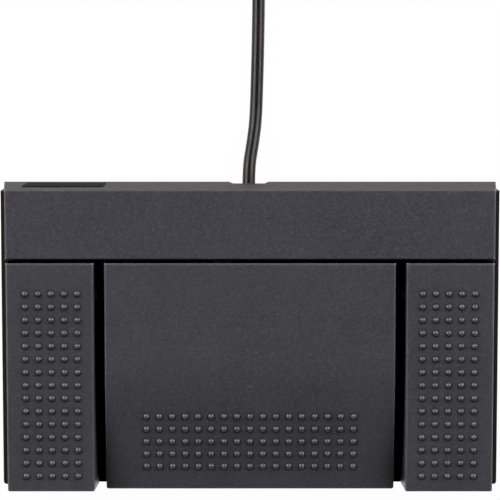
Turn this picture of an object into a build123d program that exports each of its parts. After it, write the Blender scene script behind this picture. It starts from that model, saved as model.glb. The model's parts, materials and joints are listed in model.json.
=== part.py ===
from build123d import *
from math import cos, pi, radians, sin, sqrt, tan
import os

# A low foot control with three pedals, in millimetres.
# X runs to the right, Y to the rear, where the cable leaves, and Z up from the floor.
# The origin is on the floor, under the middle of the body.

# Overall form
overall_depth = 129.0
rear_height = 45.0
top_slope = 5.3
base_width = 204.0
cover_side_setback = 3.0
ear_reach = 2.0
wall_foot_height = 3.0
wall_lean = 8.93
foot_height = 2.0

# Base tray
floor_thickness = 2.5
rim_thickness = 2.4
rim_drop = 13.0
base_setback = 2.3
base_corner_radius = 1.2
front_lip_height = 2.6
front_lip_thickness = 1.8
inner_wall_thickness = 1.8
inner_wall_height = 10.5
inner_wall_inset = 4.6
inner_wall_end_gap = 1.6

# Rear cover
cover_depth = 28.0
cover_top = 2.5
cover_side = 2.2
cover_wall = 2.4
cover_lip_depth = 4.0
cover_lip_thickness = 2.0
cover_edge_radius = 0.8
ear_thickness = 1.2
ear_top_drop = 2.0
ear_root = 2.0
rim_end_gap = 0.3
floor_end_gap = 0.4
cover_floor_gap = 0.3
outlet_height = 9.5
outlet_top_width = 13.2
outlet_foot_width = 16.7
label_width = 33.0
label_height = 20.5
label_thickness = 0.35
label_side_setback = 22.3
label_bottom = 9.6

# Pedals
hinge_gap = 1.5
side_pedal_share = 0.174
rim_clearance = 0.8
pedal_gap = 4.35
pedal_top = 2.5
pedal_wall = 2.1
pedal_draft = 1.0
pedal_rear_skirt = 6.0
pedal_front_skirt = 19.0
outer_rear_skirt = 16.0
pedal_edge_radius = 0.8
centre_front_inset = 0.65
low_slope = 14.8
bend_setback_share = 0.4876
bend_radius = 108.0
stiffener_thickness = 1.6
stiffener_depth = 4.0
stiffener_end_gap = 3.0

# Grip bumps
bump_width = 2.6
bump_height = 0.9
bump_column_share = 0.149
bump_row_share = 0.0572
side_columns = 5
side_rows = 15
side_front_margin_share = 0.0681
side_bump_inset = 0.55
centre_columns = 17
centre_rows = 5
centre_front_margin_share = 0.1038

# Hinge
hinge_setback = 13.9
hinge_drop = 19.0
shaft_diameter = 4.0
running_fit = 0.05
shaft_end_gap = 0.2
hinge_rib_width = 12.0
hinge_rib_cap = 5.0
outer_rib_thickness = 2.5
outer_rib_gap = 0.3
gap_rib_thickness = 3.0
inner_rib_share = 0.27
keeper_width = 3.6
press_angle = 3.6

# Pedal arms, bushes and tails
arm_thickness = 4.0
side_arm_inset = 5.2
centre_arm_inset = 8.95
centre_arm_share = 0.41
arm_barrel_radius = 5.5
arm_root_reach = 18.0
arm_root_drop = 5.8
arm_foot_drop = 10.5
bush_wall = 1.2
bush_proud = 0.4
tail_length = 12.0
tail_height = 5.5
tail_drop = 6.0

# Stops
pad_diameter = 6.0
pad_thickness = 2.0
pad_post_diameter = 7.0
rest_gap = 0.2
stop_gap = 0.3
rest_pad_reach = 9.0
stop_pad_setback = 14.0
centre_stop_share = 0.61

# Return springs
spring_share = 0.5416
spring_diameter = 12.0
spring_wire = 1.2
spring_turns = 8
spring_seat_diameter = 15.0
spring_seat_height = 3.0
spring_boss_height = 3.6
spring_pin_clearance = 0.5
spring_pin_height = 5.0
spring_pedal_pin_height = 4.0
spring_gap = 0.1

# Circuit board and what it carries
board_reach = 28.0
board_depth = 20.0
board_side_gap = 7.6
board_thickness = 1.6
board_clearance = 5.5
board_post_diameter = 6.0
board_screw_offset = 2.7
board_screw_share = 0.61
switch_reach = 26.0
switch_width = 12.0
switch_height = 7.0
switch_base = 0.8
plunger_diameter = 7.0
plunger_rest = 2.7
plunger_top_gap = 0.1
actuator_thickness = 2.0
actuator_width = 8.0
chip_length = 13.0
chip_width = 7.5
chip_height = 2.4
chip_share = 0.882
chip_leg_width = 0.4
chip_leg_reach = 1.4
chip_leg_height = 0.3
chip_leg_pitch = 1.27
chip_legs = 10
socket_x = -11.5
socket_width = 10.0
socket_depth = 5.0
socket_height = 6.0
socket_setback = 1.5
socket_wall = 0.8
inner_plug_length = 6.0
inner_plug_height = 4.0

# Cable inside the body
cable_diameter = 5.4
cable_height = 8.3
cable_exit_x = -0.5
lead_diameter = 4.0
grommet_diameter = 7.6
grommet_length = 9.5
grommet_proud = 2.6
flange_width = 11.0
flange_thickness = 1.8
flange_rise = 4.0
flange_setback = 5.2
cheek_thickness = 1.5
cheek_height = 6.0
cheek_width = 3.0
cheek_gap = 0.2
clamp_setback = 9.4
clamp_width = 18.0
clamp_depth = 4.5
clamp_thickness = 2.5
clamp_screw_offset = 6.3
clamp_post_diameter = 4.6
saddle_width = 5.0

# Screws
screw_diameter = 3.0
screw_head_diameter = 5.6
screw_head_height = 2.0
screw_hole_clearance = 0.2
cover_screw_share = 0.61
cover_screw_setback = 6.9
cover_post_diameter = 9.2
cover_post_height = 17.5
cover_boss_diameter = 7.6
cover_screw_length = 27.0
cover_screw_recess = 3.4
head_recess_clearance = 0.3
small_screw_diameter = 2.4
small_screw_head_diameter = 4.4
small_screw_head_height = 1.5
small_screw_length = 6.5
drive_diameter = 1.6
drive_depth = 1.0

# Ballast plate and feet
ballast_thickness = 3.0
ballast_side_gap = 7.6
ballast_front_setback = 19.1
ballast_spring_gap = 10.0
ballast_screw_side_gap = 15.6
ballast_screw_share = 0.51
ballast_screw_bite = 1.9
rubber_foot_diameter = 16.0
foot_recess = 0.6
foot_clearance = 0.15
foot_edge_radius = 0.6
foot_inset_x = 14.0
foot_inset_front = 12.0
foot_inset_rear = 24.0

# Cable outside the body: points of its middle line along the floor, before the coil,
# each with its distance behind the foot of the rear wall in place of its Y
cable_route = [
    (-0.5, 5.9, 8.3),
    (0.3, 14.9, 5.7),
    (1.6, 25.4, 3.1),
    (2.5, 39.4, 2.7),
    (3.1, 58.9, 2.7),
    (3.6, 78.9, 2.8),
    (3.65, 93.9, 3.55),
    (3.4, 106.9, 3.8),
]
run_share = 0.45

# Put-away coil, its tie and the plug that lies on it
coil_radius = 27.5
coil_pitch = 5.9
coil_layers = 4
turns_per_layer = 2.5
coil_setback = 124.9
coil_start_x = 3.4
coil_tail_radius = 20.0
coil_end_straights = 1.0
tie_angle = 215.0
tie_width = 9.0
tie_thickness = 0.8
tie_gap = 0.3
plug_rise_gap = 0.3
plug_body_width = 14.6
plug_body_height = 7.6
plug_body_length = 27.0
plug_body_radius = 1.6
plug_relief_length = 13.0
plug_relief_diameter = 6.6
plug_shell_width = 12.0
plug_shell_height = 4.5
plug_shell_length = 11.75
plug_shell_wall = 0.3
plug_window = 2.2
plug_window_offset = 2.6
plug_window_reach = 6.2
plug_tongue_width = 11.0
plug_tongue_height = 1.9
plug_tongue_setback = 0.6
plug_contact_width = 1.2
plug_contact_height = 0.25
plug_contact_length = 8.0
plug_contact_pitch = 2.3
plug_contact_count = 4

# Anything that a cut passes through is passed by this much
overrun = 5.0

# Sizes and places that follow from those above
floor_low = foot_height
floor_high = foot_height + floor_thickness
wall_foot_y = overall_depth / 2
front_y = -overall_depth / 2
cover_rear_y = wall_foot_y - (rear_height - wall_foot_height) * tan(radians(wall_lean))
cover_front_y = cover_rear_y - cover_depth
pedal_rear_y = cover_front_y - hinge_gap
centre_front_y = front_y + centre_front_inset
base_front_y = front_y + base_setback
pedal_depth = pedal_rear_y - front_y
bend_y = front_y + pedal_depth * bend_setback_share
base_half = base_width / 2
rim_inner = base_half - rim_thickness
side_outer = rim_inner - rim_clearance
side_pedal_width = base_width * side_pedal_share
side_inner = side_outer - side_pedal_width
side_middle = (side_outer + side_inner) / 2
centre_half = side_inner - pedal_gap
cover_half = base_half - cover_side_setback
wall_foot_half = base_half + ear_reach
label_centre_x = label_side_setback - cover_half
cover_inner = cover_half - cover_side
bump_column_pitch = side_pedal_width * bump_column_share
bump_row_pitch = pedal_depth * bump_row_share
side_front_margin = pedal_depth * side_front_margin_share
centre_front_margin = pedal_depth * centre_front_margin_share
hinge_y = cover_rear_y - hinge_setback
hinge_height = rear_height - hinge_drop
inner_rib_offset = centre_half * inner_rib_share
centre_stop_offset = centre_half * centre_stop_share
spring_y = front_y + pedal_depth * spring_share
board_y = hinge_y - board_reach
board_half = rim_inner - board_side_gap
switch_y = hinge_y - switch_reach
chip_x = centre_half * chip_share
clamp_y = cover_rear_y - clamp_setback
cover_screw_y = cover_rear_y - cover_screw_setback
ballast_half = rim_inner - ballast_side_gap
ballast_front = front_y + ballast_front_setback
ballast_rear = spring_y - ballast_spring_gap
coil_centre_y = wall_foot_y + coil_setback
shaft_radius = shaft_diameter / 2
shaft_half = cover_inner - shaft_end_gap
bush_bore = shaft_radius + running_fit
bush_radius = bush_bore + bush_wall
board_low = floor_high + board_clearance
board_high = board_low + board_thickness
cable_radius = cable_diameter / 2
sides = {"left": -1, "right": 1}


def main_top(y):
    """The height of the common top surface of the cover and the pedals."""
    return rear_height - (cover_rear_y - y) * tan(radians(top_slope))


def low_top(y):
    """The height of the centre pedal's lower front surface, continued both ways."""
    return main_top(bend_y) - (bend_y - y) * tan(radians(low_slope))


def wall_y(z, inset=0.0):
    """The rear wall's outer face at a height, or a face that lies an inset inside it."""
    outer = wall_foot_y - (z - wall_foot_height) * tan(radians(wall_lean))
    return outer - inset / cos(radians(wall_lean))


def pressed(y, z):
    """Where a point of a pedal goes when the pedal is fully pressed."""
    turn = radians(press_angle)
    from_y = y - hinge_y
    from_z = z - hinge_height
    return (
        hinge_y + from_y * cos(turn) - from_z * sin(turn),
        hinge_height + from_y * sin(turn) + from_z * cos(turn),
    )


def prism_x(points, x_low, x_high):
    """A prism along X with an outline of (y, z) points."""
    outline = make_face(Polyline(*points, close=True))
    return extrude(Plane.YZ.offset(x_low) * outline, amount=x_high - x_low)


def prism_y(points, y_low, y_high):
    """A prism along Y with an outline of (x, z) points."""
    outline = make_face(Polyline(*points, close=True))
    return extrude(Plane.XZ.offset(-y_high) * outline, amount=y_high - y_low)


def block(x_low, x_high, y_low, y_high, z_low, z_high):
    """A box given by its six faces."""
    middle = Pos((x_low + x_high) / 2, (y_low + y_high) / 2, (z_low + z_high) / 2)
    return middle * Box(x_high - x_low, y_high - y_low, z_high - z_low)


def rod_x(radius, y, z, x_low, x_high):
    """A rod along X."""
    return Pos((x_low + x_high) / 2, y, z) * Rot(0, 90, 0) * Cylinder(radius, x_high - x_low)


def rod_y(radius, x, z, y_low, y_high):
    """A rod along Y."""
    return Pos(x, (y_low + y_high) / 2, z) * Rot(90, 0, 0) * Cylinder(radius, y_high - y_low)


def rod_z(radius, x, y, z_low, z_high):
    """A rod along Z."""
    return Pos(x, y, (z_low + z_high) / 2) * Cylinder(radius, z_high - z_low)


def wound_path(points, tangents):
    """One smooth path through points, with a pair of arcs between each two."""
    arcs = []
    for index in range(len(points) - 1):
        start = Vector(*points[index])
        end = Vector(*points[index + 1])
        leave = Vector(*tangents[index]).normalized()
        arrive = Vector(*tangents[index + 1]).normalized()
        span = end - start
        both = leave + arrive
        along = span.dot(both)
        square = 2 * (1 - leave.dot(arrive))
        reach = (sqrt(along * along + square * span.dot(span)) - along) / square
        first = start + leave * reach
        second = end - arrive * reach
        middle = (first + second) * (1 / 2)
        arcs.append(TangentArc([start, middle], tangent=leave))
        arcs.append(TangentArc([middle, end], tangent=(second - first).normalized()))
    return arcs


# Places of the arms, stops, springs and switches of each pedal
def pedal_arms(side):
    """The middles of a side pedal's two arms."""
    return [side * (side_inner + side_arm_inset), side * (side_outer - side_arm_inset - pedal_wall)]


def mirrored(outer, inner):
    """Four places across the object, alike on both sides."""
    return [-outer, -inner, inner, outer]


centre_arm_outer = centre_half - centre_arm_inset
pedal_middles = {"left": -side_middle, "centre": 0.0, "right": side_middle}
arm_places = {"left": pedal_arms(-1), "centre": mirrored(centre_arm_outer, centre_half * centre_arm_share),
              "right": pedal_arms(1)}
rest_places = {
    "left": pedal_arms(-1),
    "centre": [-centre_arm_outer, centre_arm_outer],
    "right": pedal_arms(1),
}
stop_places = {
    "left": [-side_middle],
    "centre": [-centre_stop_offset, centre_stop_offset],
    "right": [side_middle],
}
stop_y = front_y + stop_pad_setback
rest_y = hinge_y + rest_pad_reach
tail_low = hinge_height - tail_drop
rest_pad_high = tail_low - rest_gap
cover_screws = mirrored(side_middle, centre_half * cover_screw_share)
board_screws_x = mirrored(side_inner + board_screw_offset, centre_half * board_screw_share)
ballast_screws_x = mirrored(rim_inner - ballast_screw_side_gap, centre_half * ballast_screw_share)
ballast_middle_y = (ballast_front + ballast_rear) / 2
cover_post_high = floor_high + cover_post_height
spring_seat_high = floor_high + spring_seat_height


def underside(name, y):
    """The height of the underside of a pedal's top plate."""
    main = main_top(y) - pedal_top / cos(radians(top_slope))
    if name != "centre":
        return main
    return min(main, low_top(y) - pedal_top / cos(radians(low_slope)))


def stop_pad_high(name):
    """A stop pad's top, just clear of its pedal when that is fully pressed."""
    front = stop_y - pad_diameter / 2
    return pressed(front, underside(name, front))[1] - stop_gap


def spring_seat_low(name):
    """The level face under a pedal that its spring pushes on."""
    return underside(name, spring_y - spring_seat_diameter / 2) - spring_boss_height / 4


# Pedals
def pedal_outline(name, top_inset, wall_inset, bottom):
    """A pedal's side outline, inset for the hollow, down to a line of (rear, front) drops."""
    front = front_y
    if name == "centre":
        front = centre_front_y
    rear_edge = pedal_rear_y - wall_inset
    main_inset = top_inset / cos(radians(top_slope))
    lean = tan(radians(top_slope))
    foot_z = main_top(front) - bottom[1]
    front_top = main_top(front)
    if name == "centre":
        front_top = low_top(front)
    front_line = front + wall_inset / cos(radians(top_slope))
    points = [(rear_edge, main_top(pedal_rear_y) - bottom[0])]
    points.append((rear_edge, main_top(rear_edge) - main_inset))
    if name == "centre":
        low_inset = top_inset / cos(radians(low_slope))
        steeper = tan(radians(low_slope)) - lean
        meet = bend_y - (low_inset - main_inset) / steeper
        points.append((meet, main_top(meet) - main_inset))
        points.append((front_line, low_top(front_line) - low_inset))
    else:
        points.append((front_line, main_top(front_line) - main_inset))
    points.append((front_line + (front_top - foot_z) * lean, foot_z))
    return points


def pedal_prism(name, top_inset, wall_inset, bottom, x_low, x_high):
    """A pedal's outline drawn out along X, with its bend rounded."""
    outline = make_face(Polyline(*pedal_outline(name, top_inset, wall_inset, bottom), close=True))
    if name == "centre":
        bend = outline.vertices().sort_by_distance((bend_y, main_top(bend_y)))[0]
        outline = fillet(bend, bend_radius - top_inset)
    return extrude(Plane.YZ.offset(x_low) * outline, amount=x_high - x_low)


def drafted_width(x_low, x_high, low_draft, high_draft):
    """A prism along the top slope whose sides spread downwards by their drafts."""
    start_y = pedal_rear_y + overrun
    slope = radians(top_slope)
    frame = Plane(
        origin=(0, start_y, main_top(start_y)),
        x_dir=(1, 0, 0),
        z_dir=(0, -cos(slope), -sin(slope)),
    )
    depth = rear_height
    low_spread = depth * tan(radians(low_draft))
    high_spread = depth * tan(radians(high_draft))
    low_above = overrun * tan(radians(low_draft))
    high_above = overrun * tan(radians(high_draft))
    outline = make_face(
        Polyline(
            (x_low + low_above, overrun),
            (x_high - high_above, overrun),
            (x_high + high_spread, -depth),
            (x_low - low_spread, -depth),
            close=True,
        )
    )
    return extrude(frame * outline, amount=overall_depth + overrun)


def grip_bumps(columns, rows, middle_x, front, margin, height_at, slope):
    """Round bumps on a sloping surface, counted from the front row to the rear."""
    turn = radians(slope)
    half = bump_width / 2
    ball = (half * half + bump_height * bump_height) / (2 * bump_height)
    sink = ball - bump_height
    bumps = []
    for row in range(rows):
        y = front + (margin + row * bump_row_pitch) * cos(turn)
        for column in range(columns):
            x = middle_x + (column - (columns - 1) / 2) * bump_column_pitch
            bumps.append(Pos(x, y + sink * sin(turn), height_at(y) - sink * cos(turn)) * Sphere(ball))
    return bumps


def pedal_arm(name, middle):
    """One arm from under the top plate back to its barrel on the shaft, with its tail."""
    low = middle - arm_thickness / 2
    high = middle + arm_thickness / 2
    root = pedal_rear_y - arm_root_reach
    root_top = underside(name, root) + pedal_top / 2
    rear_top = underside(name, pedal_rear_y) + pedal_top / 2
    web = prism_x(
        [
            (root, root_top),
            (pedal_rear_y - pedal_wall / 2, rear_top),
            (pedal_rear_y - pedal_wall / 2, rear_top - arm_root_drop),
            (hinge_y, hinge_height + arm_barrel_radius),
            (hinge_y, hinge_height - arm_barrel_radius),
            (root, root_top - arm_foot_drop),
        ],
        low,
        high,
    )
    barrel = rod_x(arm_barrel_radius, hinge_y, hinge_height, low, high)
    tail = block(low, high, hinge_y, hinge_y + tail_length, tail_low, tail_low + tail_height)
    return [web, barrel, tail]


def pedal(name, x_low, x_high, outer_side):
    """A pedal shell; outer_side is -1 or 1 where it runs beside a base rim, else 0."""
    middle = (x_low + x_high) / 2
    front = front_y
    if name == "centre":
        front = centre_front_y
    low_draft = pedal_draft
    high_draft = pedal_draft
    if outer_side < 0:
        low_draft = 0
    if outer_side > 0:
        high_draft = 0
    skirt = (pedal_rear_skirt, pedal_front_skirt)
    shell = pedal_prism(name, 0, 0, skirt, x_low - overrun, x_high + overrun)
    shell = shell & drafted_width(x_low, x_high, low_draft, high_draft)
    tops = [face for face in shell.faces() if face.normal_at().Z > cos(radians(2 * low_slope))]
    rims = []
    for top in tops:
        for edge in top.edges():
            shared = [one for other in tops for one in other.edges() if one.center() == edge.center()]
            if len(shared) == 1:
                rims.append(edge)
    corners = [edge for edge in shell.edges().filter_by(GeomType.LINE)
               if edge.center().Y < front + 2 * pedal_wall and abs(edge.tangent_at(0).Z) > 1 / 2]
    shell = fillet(rims + corners, pedal_edge_radius)
    deep = (rear_height, rear_height)
    hollow = pedal_prism(name, pedal_top, pedal_wall, deep, x_low - overrun, x_high + overrun)
    hollow = hollow & drafted_width(x_low + pedal_wall, x_high - pedal_wall, low_draft, high_draft)
    shell = shell - hollow
    pieces = []
    if outer_side:
        outer = pedal_prism(
            name, pedal_edge_radius, pedal_edge_radius / 2, (outer_rear_skirt, pedal_front_skirt),
            x_low if outer_side < 0 else x_high - pedal_wall,
            x_low + pedal_wall if outer_side < 0 else x_high,
        )
        pieces.append(outer)
    for arm in arm_places[name]:
        pieces += pedal_arm(name, arm)
    pieces += pedal_inside(name, middle)
    if name == "centre":
        pieces += grip_bumps(centre_columns, centre_rows, middle, front, centre_front_margin,
                             low_top, low_slope)
    else:
        inward = middle - outer_side * side_bump_inset
        pieces += grip_bumps(side_columns, side_rows, inward, front, side_front_margin,
                             main_top, top_slope)
    solid = shell + pieces
    for arm in arm_places[name]:
        solid = solid - rod_x(bush_radius, hinge_y, hinge_height, arm - arm_thickness, arm + arm_thickness)
    return solid


def pedal_inside(name, middle):
    """The switch actuator, spring boss and stiffening ribs under a pedal's top plate."""
    tip = actuator_tip()
    actuator_top = underside(name, switch_y) + pedal_top / 2
    across = block(
        middle - actuator_width / 2, middle + actuator_width / 2,
        switch_y - actuator_thickness / 2, switch_y + actuator_thickness / 2, tip, actuator_top,
    )
    along = block(
        middle - actuator_thickness / 2, middle + actuator_thickness / 2,
        switch_y - actuator_width / 4, switch_y + actuator_width / 2, tip + actuator_thickness, actuator_top,
    )
    seat = spring_seat_low(name)
    boss_top = underside(name, spring_y) + pedal_top / 2
    boss = rod_z(spring_seat_diameter / 2, middle, spring_y, seat, boss_top)
    pin = rod_z(spring_pin_radius(), middle, spring_y, seat - spring_pedal_pin_height, boss_top)
    offsets = [actuator_width] if name != "centre" else [actuator_width, centre_stop_offset + actuator_width]
    ribs = []
    front = front_y + pedal_wall + stiffener_end_gap
    rear = pedal_rear_y - pedal_wall - stiffener_end_gap
    for offset in offsets:
        for side in (-1, 1):
            x = middle + side * offset
            outline = [(rear, underside(name, rear) + pedal_top / 2)]
            outline.append((rear, underside(name, rear) - stiffener_depth))
            if name == "centre":
                outline.append((bend_y, underside(name, bend_y) - stiffener_depth))
            outline.append((front, underside(name, front) - stiffener_depth / 2))
            outline.append((front, underside(name, front) + pedal_top / 2))
            if name == "centre":
                outline.append((bend_y, underside(name, bend_y) + pedal_top / 4))
            ribs.append(prism_x(outline, x - stiffener_thickness / 2, x + stiffener_thickness / 2))
    return [across, along, boss, pin] + ribs


def spring_pin_radius():
    """The pins inside a spring's ends."""
    return spring_diameter / 2 - spring_wire - spring_pin_clearance


def actuator_tip():
    """The lower end of a pedal's actuator, just above the plunger at rest."""
    return board_high + switch_height + plunger_rest + plunger_top_gap + switch_base


def bushes(name):
    """The plain bushes in a pedal's arms."""
    group = []
    for arm in arm_places[name]:
        low = arm - arm_thickness / 2 - bush_proud
        high = arm + arm_thickness / 2 + bush_proud
        outer = rod_x(bush_radius, hinge_y, hinge_height, low, high)
        group.append(outer - rod_x(bush_bore, hinge_y, hinge_height, low - overrun, high + overrun))
    return Compound(children=group)


# Base tray
def rim(side):
    """A side rim, whose top runs parallel to the pedals and whose end follows the rear wall."""
    end_inset = ear_thickness + rim_end_gap
    slope = tan(radians(top_slope))
    lean = tan(radians(wall_lean))
    top_at_end = main_top(0) - rim_drop
    end_y = (wall_y(top_at_end, end_inset)) / (1 + slope * lean)
    outline = [
        (base_front_y, floor_low),
        (base_front_y, main_top(base_front_y) - rim_drop),
        (end_y, main_top(end_y) - rim_drop),
        (wall_y(floor_low, end_inset), floor_low),
    ]
    low = rim_inner if side > 0 else -base_half
    return prism_x(outline, low, low + rim_thickness)


def hinge_rib(middle, thickness):
    """An upright rib with a slot that the shaft drops into."""
    low = middle - thickness / 2
    high = middle + thickness / 2
    plate = block(
        low, high, hinge_y - hinge_rib_width / 2, hinge_y + hinge_rib_width / 2,
        floor_low, hinge_height + hinge_rib_cap,
    )
    seat = rod_x(bush_bore, hinge_y, hinge_height, low - overrun, high + overrun)
    slot = block(
        low - overrun, high + overrun, hinge_y - bush_bore, hinge_y + bush_bore,
        hinge_height, hinge_height + hinge_rib_cap + overrun,
    )
    return plate - seat - slot


gap_middle = (side_inner + centre_half) / 2
outer_rib_middle = cover_inner - outer_rib_gap - outer_rib_thickness / 2
hinge_ribs = [(side * outer_rib_middle, outer_rib_thickness) for side in (-1, 1)]
hinge_ribs += [(side * gap_middle, gap_rib_thickness) for side in (-1, 1)]
hinge_ribs += [(side * inner_rib_offset, gap_rib_thickness) for side in (-1, 1)]
foot_places = [
    (side * (base_half - foot_inset_x), y)
    for side in (-1, 1)
    for y in (base_front_y + foot_inset_front, cover_rear_y - foot_inset_rear)
]


def inner_front_walls():
    """Low walls inside the pedals' front skirts, which close the travel gap from the front."""
    spans = [(-side_outer, -side_inner), (-centre_half, centre_half), (side_inner, side_outer)]
    walls = []
    for x_low, x_high in spans:
        end_gap = pedal_wall + inner_wall_end_gap
        walls.append(block(
            x_low + end_gap, x_high - end_gap, base_front_y + inner_wall_inset,
            base_front_y + inner_wall_inset + inner_wall_thickness,
            floor_low, floor_high + inner_wall_height,
        ))
    return walls


def base_posts():
    """The posts that stand on the floor: stops, spring seats, board and cover posts."""
    posts = []
    for name in pedal_middles:
        for x in rest_places[name]:
            posts.append(rod_z(pad_post_diameter / 2, x, rest_y, floor_low, rest_pad_high - pad_thickness))
        for x in stop_places[name]:
            high = stop_pad_high(name) - pad_thickness
            posts.append(rod_z(pad_post_diameter / 2, x, stop_y, floor_low, high))
        x = pedal_middles[name]
        posts.append(rod_z(spring_seat_diameter / 2, x, spring_y, floor_low, spring_seat_high))
        posts.append(rod_z(spring_pin_radius(), x, spring_y, floor_low, spring_seat_high + spring_pin_height))
        posts.append(rod_z(board_post_diameter / 2, x, board_y, floor_low, board_low))
    for x in board_screws_x:
        posts.append(rod_z(board_post_diameter / 2, x, board_y, floor_low, board_low))
    for x in cover_screws:
        posts.append(rod_z(cover_post_diameter / 2, x, cover_screw_y, floor_low, cover_post_high))
    return posts


def cable_supports():
    """The cheeks that hold the grommet's flange, and the clamp's saddle and posts."""
    parts = []
    flange_low = grommet_rear() - flange_setback - flange_thickness
    flange_high = flange_low + flange_thickness
    for side in (-1, 1):
        inner = grommet_diameter / 2 + cheek_gap
        x_low = cable_exit_x + side * (inner + cheek_width / 2) - cheek_width / 2
        for y_low in (flange_low - cheek_gap - cheek_thickness, flange_high + cheek_gap):
            parts.append(block(x_low, x_low + cheek_width, y_low, y_low + cheek_thickness,
                               floor_low, floor_high + cheek_height))
        post_x = cable_exit_x + side * clamp_screw_offset
        parts.append(rod_z(clamp_post_diameter / 2, post_x, clamp_y, floor_low, clamp_low()))
    parts.append(block(
        cable_exit_x - saddle_width / 2, cable_exit_x + saddle_width / 2,
        clamp_y - clamp_depth / 2, clamp_y + clamp_depth / 2, floor_low, cable_height - lead_diameter / 2,
    ))
    return parts


def grommet_rear():
    """The grommet's rear face, inside the outlet of the rear wall."""
    return wall_y(cable_height, 0) - grommet_proud / 2


def clamp_low():
    """The underside of the clamp bar, on top of the lead."""
    return cable_height + lead_diameter / 2


def small_screw_hole(x, y, high, depth):
    """A pilot hole for a small screw, as wide as its thread."""
    return rod_z(small_screw_diameter / 2, x, y, high - depth, high + overrun)


def base_tray():
    """The floor, rims, ribs and posts in one moulding."""
    floor = block(-base_half, base_half, base_front_y, wall_y(floor_low, cover_wall) - floor_end_gap,
                  floor_low, floor_high)
    lip = block(-base_half, base_half, base_front_y, base_front_y + front_lip_thickness,
                floor_low, floor_high + front_lip_height)
    tray = floor + [lip, rim(-1), rim(1)]
    upright = [edge for edge in tray.edges().filter_by(Axis.Z)
               if edge.center().Y < base_front_y + base_corner_radius and abs(edge.center().X) > rim_inner
               + rim_thickness / 2]
    tray = fillet(upright, base_corner_radius)
    parts = inner_front_walls() + base_posts() + cable_supports()
    parts += [hinge_rib(middle, thickness) for middle, thickness in hinge_ribs]
    tray = tray + parts
    cuts = []
    for x in cover_screws:
        hole = screw_diameter / 2 + screw_hole_clearance
        recess = screw_head_diameter / 2 + head_recess_clearance
        cuts.append(rod_z(hole, x, cover_screw_y, floor_low - overrun, cover_post_high + overrun))
        cuts.append(rod_z(recess, x, cover_screw_y, floor_low - overrun, floor_low + cover_screw_recess))
    for x in board_screws_x:
        cuts.append(small_screw_hole(x, board_y, board_low, small_screw_length - board_thickness))
    for x in ballast_screws_x:
        cuts.append(small_screw_hole(x, ballast_middle_y, floor_high, ballast_screw_bite))
    for side in (-1, 1):
        cuts.append(small_screw_hole(cable_exit_x + side * clamp_screw_offset, clamp_y, clamp_low(),
                                     small_screw_length - clamp_thickness))
    for x, y in foot_places:
        cuts.append(rod_z(rubber_foot_diameter / 2 + foot_clearance, x, y, floor_low - overrun,
                          floor_low + foot_recess))
    return tray - cuts


def rubber_feet():
    """Round feet, let into the floor's underside."""
    group = []
    for x, y in foot_places:
        foot = rod_z(rubber_foot_diameter / 2, x, y, 0, floor_low + foot_recess)
        rounded = foot.edges().filter_by(GeomType.CIRCLE).sort_by(Axis.Z)[0]
        group.append(fillet(rounded, foot_edge_radius))
    return Compound(children=group)


def ballast_plate():
    """The steel plate that keeps the pedal from sliding or tipping."""
    plate = block(-ballast_half, ballast_half, ballast_front, ballast_rear,
                  floor_high, floor_high + ballast_thickness)
    for x in ballast_screws_x:
        hole = small_screw_diameter / 2 + screw_hole_clearance
        plate = plate - rod_z(hole, x, ballast_middle_y, floor_high - overrun,
                              floor_high + ballast_thickness + overrun)
    return plate


# Rear cover
def cover_ear(side):
    """The thin flared edge of the rear wall, behind a base rim."""
    low = cover_half - ear_root
    top_z = rear_height - ear_top_drop
    flare = (wall_foot_half - cover_half) / (rear_height - wall_foot_height)
    width = prism_y(
        [
            (side * low, top_z),
            (side * (cover_half + ear_top_drop * flare), top_z),
            (side * wall_foot_half, wall_foot_height),
            (side * low, wall_foot_height),
        ],
        0, overall_depth,
    )
    skin = prism_x(
        [
            (wall_y(wall_foot_height), wall_foot_height),
            (wall_y(rear_height), rear_height),
            (wall_y(rear_height, ear_thickness), rear_height),
            (wall_y(wall_foot_height, ear_thickness), wall_foot_height),
        ],
        -overall_depth, overall_depth,
    )
    return width & skin


def cover_shell():
    """The cover's top, sides, rear wall and front lip."""
    outer = prism_x(
        [
            (cover_front_y, main_top(cover_front_y)),
            (cover_rear_y, rear_height),
            (wall_foot_y, wall_foot_height),
            (cover_front_y, wall_foot_height),
        ],
        -cover_half, cover_half,
    )
    top = outer.faces().sort_by(Axis.Z)[-1]
    outer = fillet(top.edges(), cover_edge_radius)
    top_inset = cover_top / cos(radians(top_slope))
    lip_rear = cover_front_y + cover_lip_thickness
    ceiling_rear = wall_y(rear_height, cover_wall)
    deep = wall_foot_height - overrun
    hollow = prism_x(
        [
            (lip_rear, main_top(lip_rear) - top_inset),
            (ceiling_rear, main_top(ceiling_rear) - top_inset),
            (wall_y(deep, cover_wall), deep),
            (lip_rear, deep),
        ],
        -cover_inner, cover_inner,
    )
    mouth = prism_x(
        [
            (cover_front_y - overrun, main_top(cover_front_y) - cover_lip_depth),
            (lip_rear + overrun, main_top(cover_front_y) - cover_lip_depth),
            (lip_rear + overrun, deep),
            (cover_front_y - overrun, deep),
        ],
        -cover_inner, cover_inner,
    )
    floor_cut = block(-base_half, base_half, cover_front_y - overrun, wall_y(floor_high, cover_wall),
                      deep, floor_high + cover_floor_gap)
    return outer - [hollow, mouth, floor_cut]


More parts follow.
